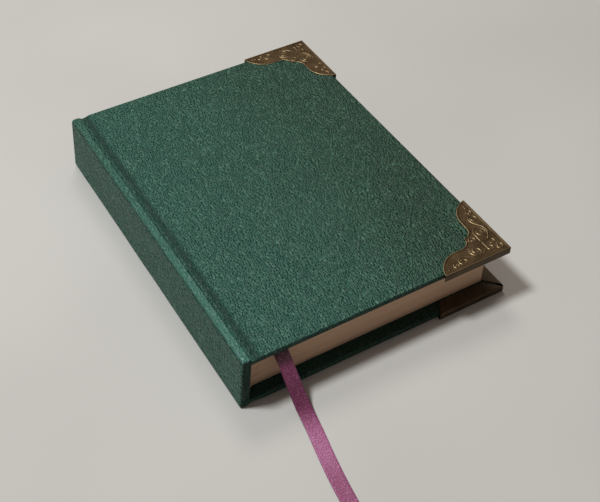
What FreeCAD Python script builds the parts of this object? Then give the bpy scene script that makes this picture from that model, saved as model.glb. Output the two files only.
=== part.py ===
import FreeCAD, Part
import math
import os

from FreeCAD import Vector

# Hardcover notebook: a case-bound page block in green leather, with folded metal corner guards.
# It lies closed on its back cover. Sizes are in millimetres.
# X runs from the spine to the fore-edge, Y from the tail (foot) to the head, Z up.

# Page block and endpapers
page_width = 147.0
page_height = 200.0
block_thickness = 25.4
endpaper = 0.2

# Cover boards and the leather over them
board = 2.4
leather = 0.8
turned_leather = 0.4        # leather pared thin where it folds over the inside of a board
turn_in = 15.0              # how far it folds over
square_fore = 6.5           # cover beyond the pages at the fore-edge
square_ends = 7.5           # cover beyond the pages at head and tail
leather_edge_round = 0.7    # outer edges of the covers, and both ends of the spine

# Spine and joints
spine_board = 3.5
spine_lean = 2.6            # the top of the spine stands this much nearer to the fore-edge
spine_room = 8.0            # from the spine's outer face to the pages
shoulder_round = 1.6        # outer edges of the spine
ridge_round = 1.0           # edges of the spine beside the joints
ridge_foot_round = 0.5      # where the spine's ridge meets the joint
joint_edge = 11.6           # from the spine's outer face to the cover's edge at the joint
joint_depth = 1.1           # the joint's valley below the cover's outer face
joint_slope_end = 14.5      # from the spine's outer face to the top of the slope out of the valley
slope_foot_round = 1.5
slope_top_round = 3.0
hinge_clearance = 0.1       # the hinge line stands this far outside the spine's ridge

# Spine lining and headbands
lining = 0.5
lining_margin = 3.0         # lining ends this far from the block's head and tail
headband_width = 2.2
headband_depth = 1.5

# Metal corner guards: one folded sheet over each fore-edge corner of a cover
guard_sheet = 0.5
guard_proud = 2.0           # guard's outer face beyond the cover's edge
guard_leg = 42.4
guard_waist = 12.2          # width of each arm behind its lobe
guard_cusp = 18.0           # the pointed middle, from both outer faces
guard_lobe = 14.4           # length of the rounded lobe that ends each arm
guard_end = 1.0             # blunt end of each arm
guard_flap_slant = 5.0      # each inner flap is this much shorter at its free edge
guard_mitre = 1.2           # open gap between the two inner flaps, measured along an edge
guard_flap_clearance = 0.4  # between the flaps and the pages
guard_fold_round = 0.45
guard_relief = 0.2          # the plate's field is sunk this far below its rim and scrolls
guard_rim = 0.6             # raised rim along the shaped edge
guard_border = 1.5          # plain band along both folds
scroll_width = 0.55
scroll_step = 26.0          # arcs of the scrolls are cut in chords that turn about this many degrees

# Raised scrolls of a guard, each a starting point from the tip, a heading in degrees and a chain of
# steps: an arc is (radius, turn in degrees), left turns above nought; a straight run is (length, 0).
arm_scrolls = [
    # tendril: from the middle, outside the large scroll, to the curl on the arm's lobe
    ((6.5, 12.2), 129, [(2.6, 0), (7.2, -39), (5.0, -35), (3.4, 0), (6.5, 35),
                        (2.4, 180), (1.7, 180)]),
    # large scroll
    ((11.2, 12.4), 90, [(5.6, 0), (3.4, 180), (2.5, 180), (1.6, 180)]),
    # leaf beside the tip
    ((11.2, 11.0), 270, [(5.0, 0), (1.6, -225)]),
    # small curl on the lobe
    ((5.3, 33.2), 90, [(1.5, 225)]),
    # bud at the arm's end
    ((3.9, 36.0), 110, [(2.6, 0)]),
]
middle_scrolls = [
    # curl at the tip
    ((4.6, 6.7), 180, [(2.0, 180), (1.4, 135)]),
    # curl under the pointed middle
    ((16.7, 15.1), 90, [(1.8, 180), (1.2, 135)]),
]

# Ribbon marker
ribbon_width = 8.5
ribbon_sheet = 0.3
ribbon_slack = 0.1          # room beside the ribbon in the pressed recess
ribbon_overlap = 2.5        # the loose part starts this far inside the pages
ribbon_reach = 2.9          # it runs on this far past the pages before it bends down
ribbon_head_x = 14.0        # its glued end at the head, from the spine's face
ribbon_head_margin = 4.0    # and from the block's head
ribbon_leave_x = 24.6       # where it leaves the pages at the tail, from the spine's face
# Middle of the loose ribbon past the pages: across from where it leaves them, out from their
# tail edge, and height. The last points lie on the table.
ribbon_lie = ribbon_sheet / 2
ribbon_route = [(0.6, -6.9, 26.4), (1.3, -11.2, 19.6), (2.1, -17.2, 10.4), (2.5, -23.6, 3.3),
                (2.3, -31.0, ribbon_lie), (0.7, -40.5, ribbon_lie), (-2.0, -54.5, ribbon_lie),
                (-4.9, -73.5, ribbon_lie), (-6.6, -91.0, ribbon_lie)]
ribbon_arc_share = 0.45     # share of the shorter run beside each corner that its arc takes

tiny = 0.01                 # lengths below this count as nought
least_bend = 0.001          # and so do bends below this, in radians

# Heights of the layers, from the table up
cover_thickness = leather + board + turned_leather
back_outer = guard_sheet
back_inner = back_outer + cover_thickness
block_bottom = back_inner + 2 * endpaper
block_top = block_bottom + block_thickness
total_height = block_top + 2 * endpaper + cover_thickness + guard_sheet
middle_height = total_height / 2

# Plan sizes, with the origin under the middle of the closed notebook
cover_width = spine_room + page_width + square_fore
cover_height = page_height + 2 * square_ends
lean_angle = math.atan2(spine_lean, total_height)
# The rounded shoulder stops this far short of the corner where the spine's faces would meet.
shoulder_inset = shoulder_round * (1 / math.cos(lean_angle) + math.tan(lean_angle) - 1)
spine_x = -(cover_width + guard_proud + shoulder_inset) / 2
fore_x = spine_x + cover_width
tail_y = -cover_height / 2
head_y = cover_height / 2
pages_back_x = spine_x + spine_room
pages_fore_x = pages_back_x + page_width
pages_tail_y = tail_y + square_ends
pages_head_y = head_y - square_ends
joint_x = spine_x + joint_edge
board_x = joint_x + leather
slope_end_x = spine_x + joint_slope_end

# Spine section
leather_across = leather / math.cos(lean_angle)     # leather on the leaning faces, measured level
ridge_width = spine_board / math.cos(lean_angle) + 2 * leather_across
joint_floor = back_outer + joint_depth      # the back joint's outer face
joint_inside = joint_floor + leather        # and its inner face


def spine_face_x(z):
    """Outer face of the leaning spine at a height."""
    return spine_x + spine_lean * z / total_height


def ridge_x(z):
    """Side of the spine that faces a joint, at a height."""
    return spine_face_x(z) + ridge_width


back_hinge_x = (ridge_x(0) + joint_x) / 2
front_hinge_x = (ridge_x(total_height) + joint_x) / 2


def box(x0, x1, y0, y1, z0, z1):
    return Part.makeBox(x1 - x0, y1 - y0, z1 - z0, Vector(x0, y0, z0))


def turned_over(shape):
    """The same piece for the front cover: the back cover's, mirrored in the notebook's mid-plane."""
    return shape.mirror(Vector(0, 0, middle_height), Vector(0, 0, 1))


def rounded_path(points, radii):
    """Edges along straight runs, with a tangent arc of its own radius at each inner point."""
    edges = []
    start = points[0]
    for before, corner, after, radius in zip(points, points[1:], points[2:], radii):
        to_before = (before - corner).normalize()
        to_after = (after - corner).normalize()
        half_angle = to_before.getAngle(to_after) / 2
        reach = radius / math.tan(half_angle)
        arc_start = corner + to_before * reach
        arc_end = corner + to_after * reach
        bisector = (to_before + to_after).normalize()
        arc_middle = corner + bisector * (radius / math.sin(half_angle) - radius)
        edges.append(Part.LineSegment(start, arc_start).toShape())
        edges.append(Part.Arc(arc_start, arc_middle, arc_end).toShape())
        start = arc_end
    edges.append(Part.LineSegment(start, points[-1]).toShape())
    return edges


def moved_left(points, distance, normal):
    """Points of a path moved to its left by a distance, seen against the normal."""
    lines = []
    for start, end in zip(points, points[1:]):
        direction = (end - start).normalize()
        lines.append((start + normal.cross(direction) * distance, direction))
    moved = [lines[0][0]]
    for (start, direction), (other, turned) in zip(lines, lines[1:]):
        along = (other - start).cross(turned).dot(normal) / direction.cross(turned).dot(normal)
        moved.append(start + direction * along)
    last_side = normal.cross(lines[-1][1]) * distance
    moved.append(points[-1] + last_side)
    return moved


def face_of(edges):
    return Part.Face(Part.Wire(Part.__sortEdges__(edges)))


def section_along(points, radii, closing, inset=0.0):
    """A section drawn out from tail to head: a path with rounded corners, closed by straight runs."""
    corners = [points[-1]] + closing + [points[0]]
    edges = rounded_path(points, radii)
    edges += [Part.LineSegment(start, end).toShape() for start, end in zip(corners, corners[1:])
              if (end - start).Length > tiny]
    face = face_of(edges)
    face.translate(Vector(0, tail_y + inset, 0))
    return face.extrude(Vector(0, cover_height - 2 * inset, 0))


def rounded_outside(solid, is_outer):
    """Rounds the edges of a leather piece's ends that lie on the outside of the notebook."""
    chosen = []
    for edge in solid.Edges:
        centre = edge.CenterOfMass
        at_end = abs(centre.y) > head_y - tiny or centre.x > fore_x - tiny
        if at_end and is_outer(centre):
            chosen.append(edge)
    return solid.makeFillet(leather_edge_round, chosen)


spine_rounds = [ridge_round, shoulder_round, shoulder_round, ridge_round]


def spine_outline():
    """Corners of the closed spine section, anticlockwise from the middle of its inner face."""
    inner_bottom = Vector(ridge_x(0), 0, 0)
    inner_top = Vector(ridge_x(total_height), 0, total_height)
    outer_top = Vector(spine_face_x(total_height), 0, total_height)
    outer_bottom = Vector(spine_face_x(0), 0, 0)
    middle = (inner_bottom + inner_top) * 0.5
    return [middle, inner_top, outer_top, outer_bottom, inner_bottom, middle]


def make_spine_board():
    section = moved_left(spine_outline(), leather, Vector(0, -1, 0))
    return section_along(section, [r - leather for r in spine_rounds], [], leather)


def spine_window(depth, margin):
    """Room on the inner side of the spine, to a depth under the leather's face there."""
    high = total_height - joint_inside
    low_run = [Vector(ridge_x(joint_inside) - depth, 0, joint_inside),
               Vector(ridge_x(joint_inside) + leather, 0, joint_inside)]
    high_run = [Vector(ridge_x(high) + leather, 0, high), Vector(ridge_x(high) - depth, 0, high)]
    return section_along(low_run, [], high_run, margin)


def joint_strip(hinge_x, on_front):
    """Leather from the side of the spine's ridge to the middle of a joint."""
    def level(height):
        return total_height - height if on_front else height

    foot = level(joint_floor)
    side = level(joint_floor - ridge_foot_round)
    inside = level(joint_inside)
    path = [Vector(hinge_x, 0, foot), Vector(ridge_x(foot), 0, foot), Vector(ridge_x(side), 0, side)]
    closing = [Vector(ridge_x(side) - leather, 0, side), Vector(ridge_x(inside) - leather, 0, inside),
               Vector(hinge_x, 0, inside)]
    reach = math.tan((math.pi / 2 - lean_angle) / 2)
    return section_along(path, [ridge_foot_round * reach], closing)


def make_spine_leather():
    """Leather round the spine board, and over to the middle of both joints."""
    case = section_along(spine_outline(), spine_rounds, [])
    case = rounded_outside(case, lambda centre: True)
    strips = [joint_strip(front_hinge_x, True), joint_strip(back_hinge_x, False)]
    # The leather folds round the board's ends and a little way up its inside.
    folded = spine_window(leather_across - turned_leather / math.cos(lean_angle), leather)
    bare = spine_window(leather_across, turn_in)
    hollow = make_spine_board().multiFuse([folded, bare])
    return case.multiFuse(strips).cut(hollow).removeSplitter()


def cover_path(hinge_x):
    """Outer face of a cover's leather: from the middle of its joint, up the slope, to the fore-edge."""
    return [Vector(hinge_x, 0, joint_floor), Vector(joint_x, 0, joint_floor),
            Vector(slope_end_x, 0, back_outer), Vector(fore_x, 0, back_outer)]


def make_cover_board():
    """Board with its edge at the joint bevelled to the slope."""
    path = moved_left(cover_path(back_hinge_x), leather, Vector(0, -1, 0))
    top = back_inner - turned_leather
    closing = [Vector(fore_x, 0, top), Vector(back_hinge_x, 0, top)]
    rounds = [slope_foot_round + leather, slope_top_round - leather]
    return section_along(path, rounds, closing).common(
        box(board_x, fore_x - leather, tail_y + leather, head_y - leather, back_outer, top))


def window(z0, z1):
    """The board's inside between the turned-in edges, which the pastedown fills level."""
    return box(joint_x, fore_x - turn_in, tail_y + turn_in, head_y - turn_in, z0, z1)


def make_cover_leather(hinge_x):
    """Leather over a cover, from the middle of its joint, with its edges turned in over the board."""
    closing = [Vector(fore_x, 0, back_inner), Vector(joint_x, 0, back_inner),
               Vector(joint_x, 0, joint_inside), Vector(hinge_x, 0, joint_inside)]
    solid = section_along(cover_path(hinge_x), [slope_foot_round, slope_top_round], closing)

    def is_outer(centre):
        return centre.x > joint_x + tiny or centre.z < joint_floor + tiny

    solid = rounded_outside(solid, is_outer)
    hollow = make_cover_board().fuse(window(back_inner - turned_leather, back_inner + leather))
    return solid.cut(hollow).removeSplitter()


def make_pastedown():
    fill = window(back_inner - turned_leather, back_inner)
    sheet = box(joint_x, pages_fore_x, pages_tail_y, pages_head_y, back_inner, back_inner + endpaper)
    return fill.fuse(sheet).removeSplitter()


def make_flyleaf():
    low = back_inner + endpaper
    return box(pages_back_x, pages_fore_x, pages_tail_y, pages_head_y, low, low + endpaper)


def ribbon_start():
    return Vector(spine_x + ribbon_head_x, pages_head_y - ribbon_head_margin, block_top)


def ribbon_exit():
    return Vector(spine_x + ribbon_leave_x, pages_tail_y, block_top)


def make_pressed_strip(first, last, width, depth):
    """A flat strip just under the top page, between two points of its centre line."""
    along = (last - first).normalize()
    side = Vector(-along.y, along.x, 0) * (width / 2)
    corners = [first + side, last + side, last - side, first - side, first + side]
    return Part.Face(Part.makePolygon(corners)).extrude(Vector(0, 0, -depth))


def make_text_block():
    block = box(pages_back_x, pages_fore_x, pages_tail_y, pages_head_y, block_bottom, block_top)
    start = ribbon_start()
    end = ribbon_exit() + (ribbon_exit() - start).normalize() * ribbon_width
    recess = make_pressed_strip(start, end, ribbon_width + 2 * ribbon_slack, ribbon_sheet)
    return block.cut(recess)


def make_lining():
    return box(pages_back_x - lining, pages_back_x,
               pages_tail_y + lining_margin, pages_head_y - lining_margin, block_bottom, block_top)


def make_headband(end_y, outward):
    """A half-round sewn roll on the end of the pages, against their back edge."""
    near = Vector(pages_back_x, end_y, block_bottom)
    far = near + Vector(headband_width, 0, 0)
    crown = near + Vector(headband_width / 2, outward * headband_depth, 0)
    edges = [Part.Arc(near, crown, far).toShape(), Part.LineSegment(far, near).toShape()]
    return face_of(edges).extrude(Vector(0, 0, block_thickness))


def guard_outline():
    """Plate of a guard: two lobed arms and a pointed middle, from its tip along both outer faces."""
    lobe_start = Vector(guard_leg, guard_end, 0)
    lobe_end = Vector(guard_leg - guard_lobe, guard_waist, 0)
    rise = guard_waist - guard_end
    lobe_radius = (guard_lobe ** 2 + rise ** 2) / (2 * rise)
    lobe_centre = lobe_end - Vector(0, lobe_radius, 0)
    sweep = math.atan2(guard_lobe, lobe_radius - rise) / 2
    lobe_middle = lobe_centre + Vector(math.sin(sweep), math.cos(sweep), 0) * lobe_radius
    notch = guard_cusp - guard_waist
    notch_start = Vector(guard_cusp + notch, guard_waist, 0)
    cusp = Vector(guard_cusp, guard_cusp, 0)
    notch_centre = notch_start + Vector(0, notch, 0)
    notch_middle = notch_centre - Vector(1, 1, 0).normalize() * notch
    arm = [Part.LineSegment(Vector(guard_leg, 0, 0), lobe_start),
           Part.Arc(lobe_start, lobe_middle, lobe_end),
           Part.LineSegment(lobe_end, notch_start),
           Part.Arc(notch_start, notch_middle, cusp)]
    arm = [curve.toShape() for curve in arm]
    edges = arm + [across_diagonal(edge) for edge in arm]
    edges.append(Part.LineSegment(Vector(), Vector(guard_leg, 0, 0)).toShape())
    edges.append(Part.LineSegment(Vector(), Vector(0, guard_leg, 0)).toShape())
    return face_of(edges)


def across_diagonal(shape):
    """The same shape on the other arm of a guard."""
    return shape.mirror(Vector(), Vector(1, -1, 0))


def guard_flap():
    """Inner flap of one arm, slanted at its outer end and mitred at the tip with a gap."""
    width = square_fore + guard_proud - guard_flap_clearance
    corners = [Vector(guard_mitre, 0, 0), Vector(guard_leg, 0, 0),
               Vector(guard_leg - guard_flap_slant, width, 0), Vector(guard_mitre + width, width, 0)]
    face = Part.Face(Part.makePolygon(corners + corners[:1]))
    return face.extrude(Vector(0, 0, guard_sheet))


def scroll_line(start, heading, steps):
    """Points of a scroll's middle line."""
    place = Vector(start[0], start[1], 0)
    angle = math.radians(heading)
    points = [place]
    for size, turn in steps:
        chords = max(1, round(abs(turn) / scroll_step))
        half_chord_turn = math.radians(turn) / chords / 2
        chord = 2 * size * abs(math.sin(half_chord_turn)) if turn else size
        for _ in range(chords):
            angle += half_chord_turn
            place = place + Vector(math.cos(angle), math.sin(angle), 0) * chord
            points.append(place)
            angle += half_chord_turn
    return points


def make_scroll(start, heading, steps):
    """One raised line of even width."""
    middle = scroll_line(start, heading, steps)
    left = moved_left(middle, scroll_width / 2, Vector(0, 0, 1))
    right = moved_left(middle, -scroll_width / 2, Vector(0, 0, 1))
    face = Part.Face(Part.makePolygon(left + right[::-1] + left[:1]))
    return face.extrude(Vector(0, 0, guard_relief))


def guard_field():
    """What is sunk into the plate: the field inside the rim and borders, less the raised scrolls."""
    field = guard_outline().makeOffset2D(-guard_rim).extrude(Vector(0, 0, guard_relief))
    field = field.common(box(guard_border, guard_leg, guard_border, guard_leg, 0, guard_relief))
    scrolls = [make_scroll(*scroll) for scroll in arm_scrolls]
    scrolls += [across_diagonal(scroll) for scroll in scrolls]
    scrolls += [make_scroll(*scroll) for scroll in middle_scrolls]
    return field.cut(scrolls)


def make_guard():
    """One guard with its tip at the origin, arms along X and Y, its plate below and its flaps above."""
    depth = cover_thickness + 2 * guard_sheet
    flap = guard_flap()
    flap.translate(Vector(0, 0, depth - guard_sheet))
    wall = box(0, guard_leg, 0, guard_sheet, 0, depth)
    plate = guard_outline().extrude(Vector(0, 0, guard_sheet))
    solid = plate.multiFuse([wall, across_diagonal(wall), flap, across_diagonal(flap)]).removeSplitter()
    folds = []
    for edge in solid.Edges:
        centre = edge.CenterOfMass
        level = edge.BoundBox.ZLength < tiny
        on_fold = min(centre.x, centre.y) < tiny and (centre.z < tiny or centre.z > depth - tiny)
        if level and on_fold and edge.Length > guard_leg / 2:
            folds.append(edge)
    return solid.makeFillet(guard_fold_round, folds).cut(guard_field())


def place_guard(guard, at_head):
    """The guard on the back cover, moved to its fore-edge corner at the head or the tail."""
    guard = guard.mirror(Vector(), Vector(1, 0, 0))
    end_y = tail_y - guard_proud
    guard.translate(Vector(fore_x + guard_proud, end_y, 0))
    return guard.mirror(Vector(), Vector(0, 1, 0)) if at_head else guard


def ribbon_points():
    """Centre line of the loose ribbon: out over the pages' tail edge, down, and along the table."""
    slope = (ribbon_exit() - ribbon_start()).normalize()
    level = ribbon_exit() - Vector(0, 0, ribbon_sheet / 2)
    points = [level - slope * ribbon_overlap, level + slope * ribbon_reach]
    for across, out, height in ribbon_route:
        points.append(Vector(level.x + across, level.y + out, height))
    return points


def bend_radius(before, corner, after):
    """As large as the runs on both sides allow."""
    half_turn = (corner - before).getAngle(after - corner) / 2
    shorter = min((corner - before).Length, (after - corner).Length)
    return ribbon_arc_share * shorter / math.tan(half_turn)


def flattened(points, axis):
    """Points with one coordinate set to nought, leaving out any that then fall together."""
    flat = []
    for point in points:
        moved = Vector(point)
        setattr(moved, axis, 0)
        if not flat or (moved - flat[-1]).Length > tiny:
            flat.append(moved)
    return flat


def band(points, normal, width, length):
    """A band of even width along a path in a plane, drawn out along the plane's normal."""
    middle = [points[0]]
    for before, corner, after in zip(points, points[1:], points[2:]):
        if (corner - before).getAngle(after - corner) > least_bend:
            middle.append(corner)
    middle.append(points[-1])
    radii = [bend_radius(*corners) for corners in zip(middle, middle[1:], middle[2:])]
    left = moved_left(middle, width / 2, normal)
    right = moved_left(middle, -width / 2, normal)
    turns = [(b - a).cross(c - b).dot(normal) > 0 for a, b, c in zip(middle, middle[1:], middle[2:])]
    left_radii = [r - width / 2 if turn else r + width / 2 for r, turn in zip(radii, turns)]
    right_radii = [r + width / 2 if turn else r - width / 2 for r, turn in zip(radii, turns)]
    edges = rounded_path(left, left_radii) + rounded_path(right, right_radii)
    edges.append(Part.LineSegment(left[0], right[0]).toShape())
    edges.append(Part.LineSegment(left[-1], right[-1]).toShape())
    return face_of(edges).extrude(normal * length)


def make_loose_ribbon(points):
    """The ribbon seen from the side and from above, and what the two views have in common."""
    side_points = flattened(points, "x")
    side_points[0] += Vector(0, ribbon_width, 0)
    side_points[-1] -= Vector(0, ribbon_width, 0)
    side_view = band(side_points, Vector(-1, 0, 0), ribbon_sheet, 2 * cover_width)
    side_view.translate(Vector(cover_width, 0, 0))
    plan_view = band(flattened(points, "z"), Vector(0, 0, 1), ribbon_width, total_height)
    return side_view.common(plan_view)


def report_ribbon(points, solid):
    corners = list(zip(points, points[1:], points[2:]))
    print("ribbon bend radii:", [round(bend_radius(*three), 1) for three in corners])
    length = sum((b - a).Length for a, b in zip(points, points[1:]))
    for before, corner, after in corners:
        half_turn = (corner - before).getAngle(after - corner) / 2
        radius = bend_radius(before, corner, after)
        length -= 2 * radius * (math.tan(half_turn) - half_turn)
    pressed = (points[0] - ribbon_start()).Length
    print("loose ribbon length %.1f, pressed part %.1f" % (length, pressed))
    print("loose ribbon volume %.1f, section x length %.1f"
          % (solid.Volume, ribbon_width * ribbon_sheet * length))


def main():
    points = ribbon_points()
    guard = make_guard()
    parts = {
        "text_block": make_text_block(),
        "front_flyleaf": turned_over(make_flyleaf()),
        "back_flyleaf": make_flyleaf(),
        "spine_lining": make_lining(),
        "headband_head": make_headband(pages_head_y, 1),
        "headband_tail": make_headband(pages_tail_y, -1),
        "spine_board": make_spine_board(),
        "spine_leather": make_spine_leather(),
        "front_board": turned_over(make_cover_board()),
        "back_board": make_cover_board(),
        "front_leather": turned_over(make_cover_leather(front_hinge_x)),
        "back_leather": make_cover_leather(back_hinge_x),
        "front_pastedown": turned_over(make_pastedown()),
        "back_pastedown": make_pastedown(),
        "back_guard_tail": place_guard(guard, False),
        "back_guard_head": place_guard(guard, True),
        "front_guard_tail": turned_over(place_guard(guard, False)),
        "front_guard_head": turned_over(place_guard(guard, True)),
        "ribbon_pressed": make_pressed_strip(ribbon_start(), Vector(points[0].x, points[0].y, block_top),
                                             ribbon_width, ribbon_sheet),
        "ribbon_loose": make_loose_ribbon(points),
    }
    report_ribbon(points, parts["ribbon_loose"])
    print("hinge lines: front x %.3f z %.3f, back x %.3f z %.3f"
          % (front_hinge_x, total_height + hinge_clearance, back_hinge_x, -hinge_clearance))
    os.makedirs("parts", exist_ok=True)
    for name, shape in parts.items():
        solid = shape.Solids[0] if len(shape.Solids) == 1 else shape
        print("%-18s solids %d valid %s volume %.1f" % (name, len(shape.Solids), shape.isValid(), shape.Volume))
        solid.exportStep(os.path.join("parts", name + ".step"))


main()
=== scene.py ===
import math

import bmesh
import bpy
import numpy as np
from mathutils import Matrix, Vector, noise


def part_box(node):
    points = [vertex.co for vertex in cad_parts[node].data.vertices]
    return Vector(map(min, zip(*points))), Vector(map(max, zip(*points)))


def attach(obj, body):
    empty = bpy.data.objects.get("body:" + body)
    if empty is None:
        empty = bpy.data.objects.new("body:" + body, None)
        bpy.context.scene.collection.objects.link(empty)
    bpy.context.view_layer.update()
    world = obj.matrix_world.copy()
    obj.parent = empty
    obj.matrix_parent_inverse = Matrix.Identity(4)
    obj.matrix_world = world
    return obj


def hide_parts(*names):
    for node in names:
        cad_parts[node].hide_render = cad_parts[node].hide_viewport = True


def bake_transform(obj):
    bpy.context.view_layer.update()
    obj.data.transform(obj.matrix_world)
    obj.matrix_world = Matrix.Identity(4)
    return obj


# A hardcover notebook in green leather, with metal corner guards and a ribbon marker.
# Shapes are worked out in millimetres and become metres when a mesh is made.
# X runs from the spine to the fore-edge, Y from the tail to the head, Z up.

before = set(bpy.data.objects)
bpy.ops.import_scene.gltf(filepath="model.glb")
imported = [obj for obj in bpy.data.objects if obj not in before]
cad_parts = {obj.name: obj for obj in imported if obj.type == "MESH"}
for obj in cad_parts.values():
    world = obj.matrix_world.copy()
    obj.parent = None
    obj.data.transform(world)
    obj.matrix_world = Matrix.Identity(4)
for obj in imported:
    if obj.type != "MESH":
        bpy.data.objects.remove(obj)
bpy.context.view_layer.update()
MM = 0.001
scene = bpy.context.scene


def box_mm(node):
    """Low and high corner of a CAD solid's box."""
    low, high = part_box(node)
    return np.array(low) / MM, np.array(high) / MM


# ---- sizes, read off the CAD solids and given ----
front_low, front_high = box_mm("front_leather")
pages_low, pages_high = box_mm("text_block")
guard_low, guard_high = box_mm("front_guard_tail")
pastedown_bottom = box_mm("front_pastedown")[0][2]

tail_y, head_y = front_low[1], front_high[1]
fore_x = front_high[0]
total_height = box_mm("spine_leather")[1][2]
cover_top, cover_inner = front_high[2], front_low[2]
leather = 0.8
endpaper = 0.2
joint_x = box_mm("front_board")[0][0] - leather
cover_width = 161.5
spine_x = fore_x - cover_width
spine_lean = 2.6
ridge_width = 5.6           # the leather stands a little proud of its board beside the joint

# ---- shape of the leather ----
shoulder_round = 1.5
ridge_round = 1.2
ridge_contact = math.radians(42)    # where the joint's leather leaves the ridge's rounding
joint_depth = 0.95          # the joint's valley below the cover's face
slope_end_x = spine_x + 14.5
cap_round = 1.1             # ends of the spine
cover_round = 0.8           # edges of the covers
turned_in = 9.0             # visible part of the turned-in leather and a little more
ridge_crown = 0.45          # the ridge is rounded across, like a roll
crown_reach = 6.0           # the rounding ends this far down the spine's face,
crown_fade = 4.5            # and fades out over this length
ridge_side_fade = 1.4       # the grain is pressed smooth and darkened with painted shade over this width on the ridge's side of a valley
board_side_fade = 3.2       # and over one and a half times this width on the board's side
joint_overlap = 1.5         # inner layers cross the joint and run on this far
unevenness = 0.10           # left by pressing damp leather by hand
hand_waves = ((14, 26, 1.0), (5, 9, 0.2))   # its waves: length across, length along, share
row_step = 2.5              # spacing of the mesh on flat leather
spine_step = 0.8            # and round the spine
sheet_rows = 60             # mesh rows along the sheets inside a cover


def srgb(red, green, blue):
    """A colour given as 0-255 display values."""
    def linear(value):
        value /= 255
        return value / 12.92 if value <= 0.04045 else ((value + 0.055) / 1.055) ** 2.4
    return (linear(red), linear(green), linear(blue), 1.0)


def add_object(name, data):
    thing = bpy.data.objects.new(name, data)
    scene.collection.objects.link(thing)
    return thing


# ---- mesh helpers ----
def rounded(points, radii, step=0.3):
    """A 2-D polyline through points, with an arc of its own radius at each inner corner."""
    points = [np.array(p, float) for p in points]
    path = [points[0]]
    for before, corner, after, radius in zip(points, points[1:], points[2:], radii):
        a = (before - corner) / np.linalg.norm(before - corner)
        b = (after - corner) / np.linalg.norm(after - corner)
        half = math.acos(max(-1.0, min(1.0, float(a @ b)))) / 2
        reach = radius / math.tan(half)
        middle = corner + (a + b) / np.linalg.norm(a + b) * (radius / math.sin(half))
        start, end = corner + a * reach, corner + b * reach
        turn = math.pi - 2 * half
        count = max(3, math.ceil(radius * turn / step))
        for k in range(count + 1):
            weight = math.sin((1 - k / count) * turn), math.sin(k / count * turn)
            path.append(middle + ((start - middle) * weight[0] + (end - middle) * weight[1]) / math.sin(turn))
    path.append(points[-1])
    return np.array(path)


def refined(path, longest):
    """The same polyline with no run longer than longest."""
    out = [path[0]]
    for start, end in zip(path, path[1:]):
        count = max(1, math.ceil(np.linalg.norm(end - start) / longest - 1e-6))
        out += [start + (end - start) * k / count for k in range(1, count + 1)]
    return np.array(out)


def left_normals(path, closed=False):
    """Unit vectors to the left of a 2-D path, at its points."""
    if closed:
        ahead, behind = np.roll(path, -1, 0), np.roll(path, 1, 0)
    else:
        ahead, behind = np.vstack([path[1:], path[-1:]]), np.vstack([path[:1], path[:-1]])
    along = ahead - behind
    along /= np.linalg.norm(along, axis=1)[:, None]
    return np.stack([-along[:, 1], along[:, 0]], 1)


def lengths(path):
    """How far along a path each of its points is."""
    return np.concatenate([[0], np.cumsum(np.linalg.norm(np.diff(path, axis=0), axis=1))])


class Shell:
    """Quads gathered in millimetres, with a flat map in millimetres for the grain.

    A cover's pieces are worked out for the front one, and turned over in the mid-plane for the back one."""

    def __init__(self, turned_over=False):
        self.points, self.maps, self.faces, self.marks = [], [], [], []
        self.turned_over = turned_over

    def grid(self, points, maps, mark=0.0, from_row=0, flip=False):
        """Quads over rows of points, from a row on. The mark is kept at each point for its material."""
        points = np.array(points, float)
        if self.turned_over:
            points[..., 2] = total_height - points[..., 2]
            flip = not flip
        rows, columns = points.shape[:2]
        first = len(self.points)
        self.points += points.reshape(-1, 3).tolist()
        self.maps += maps.reshape(-1, 2).tolist()
        self.marks += np.broadcast_to(mark, (rows, columns)).reshape(-1).tolist()
        for i in range(from_row, rows - 1):
            for j in range(columns - 1):
                a = first + i * columns + j
                face = [a, a + 1, a + columns + 1, a + columns]
                self.faces.append(face[::-1] if flip else face)
        return first

    def make(self, name, material, sharp=50, merge=0.004, fix_normals=False):
        """The mesh object. Points nearer than merge become one, and edges of more degrees than sharp
        stay crisp."""
        data = bpy.data.meshes.new(name)
        data.from_pydata([tuple(c * MM for c in p) for p in self.points], [], self.faces)
        layer = data.uv_layers.new(name="UVMap")
        for loop in data.loops:
            layer.data[loop.index].uv = self.maps[loop.vertex_index]
        mark = data.attributes.new("mark", "FLOAT", "POINT")
        mark.data.foreach_set("value", self.marks)
        mesh = bmesh.new()
        mesh.from_mesh(data)
        bmesh.ops.remove_doubles(mesh, verts=mesh.verts, dist=merge * MM)
        bmesh.ops.dissolve_degenerate(mesh, edges=mesh.edges, dist=1e-8)
        if fix_normals:
            bmesh.ops.recalc_face_normals(mesh, faces=mesh.faces)
        for face in mesh.faces:
            face.smooth = True
        for edge in mesh.edges:
            if len(edge.link_faces) == 2:
                edge.smooth = edge.calc_face_angle(0) < math.radians(sharp)
        mesh.to_mesh(data)
        mesh.free()
        data.materials.append(material)
        return add_object(name, data)


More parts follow.
